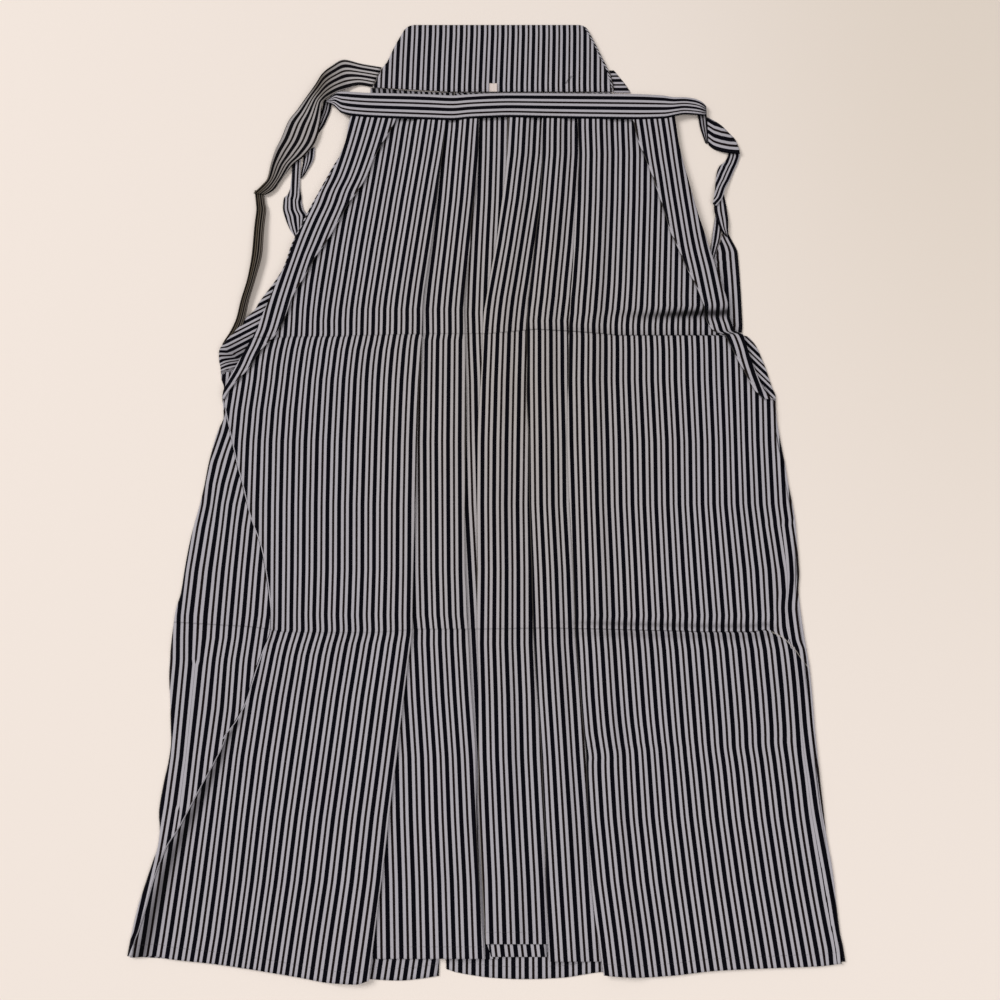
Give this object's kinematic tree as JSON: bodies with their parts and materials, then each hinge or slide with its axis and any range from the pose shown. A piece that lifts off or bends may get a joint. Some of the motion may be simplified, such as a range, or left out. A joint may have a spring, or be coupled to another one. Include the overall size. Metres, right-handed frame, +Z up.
{
  "type": "pleated hakama trousers",
  "caption": "Striped pleated hakama trousers with divided legs, laid flat on the back with the waistband, stiff back board and loose ties spread out.",
  "frame": {"origin": "centre of the outline seen from above, at the height of the surface that the garment lies on", "axes": "+X to the right side as seen from above with the waist at the top, +Y from the hem to the waist, +Z up out of the garment's front"},
  "size_m": [0.5774, 0.9084, 0.0082],
  "materials": {
    "striped_cloth": "crisp woven cloth in narrow navy, brown and pale lengthwise stripes on a cream ground, with a faint sheen",
    "label_cloth": "small bare woven label, matt"
  },
  "bodies": {
    "root": {"back_board": "striped_cloth", "back_left_leg": "striped_cloth", "back_right_leg": "striped_cloth", "front_left_leg": "striped_cloth", "front_right_leg": "striped_cloth", "front_waistband": "striped_cloth", "slit_fold_left": "striped_cloth", "slit_fold_right": "striped_cloth", "back_tie_left_1": "striped_cloth", "back_tie_left_2": "striped_cloth", "back_tie_right": "striped_cloth", "front_tie_left_1": "striped_cloth", "front_tie_left_2": "striped_cloth", "front_tie_left_3": "striped_cloth", "front_tie_right_1": "striped_cloth", "front_tie_right_2": "striped_cloth", "front_tie_right_3": "striped_cloth", "front_tie_right_4": "striped_cloth", "front_tie_right_5": "striped_cloth", "front_tie_right_6": "striped_cloth", "board_label": "label_cloth"}
  },
  "joints": []
}
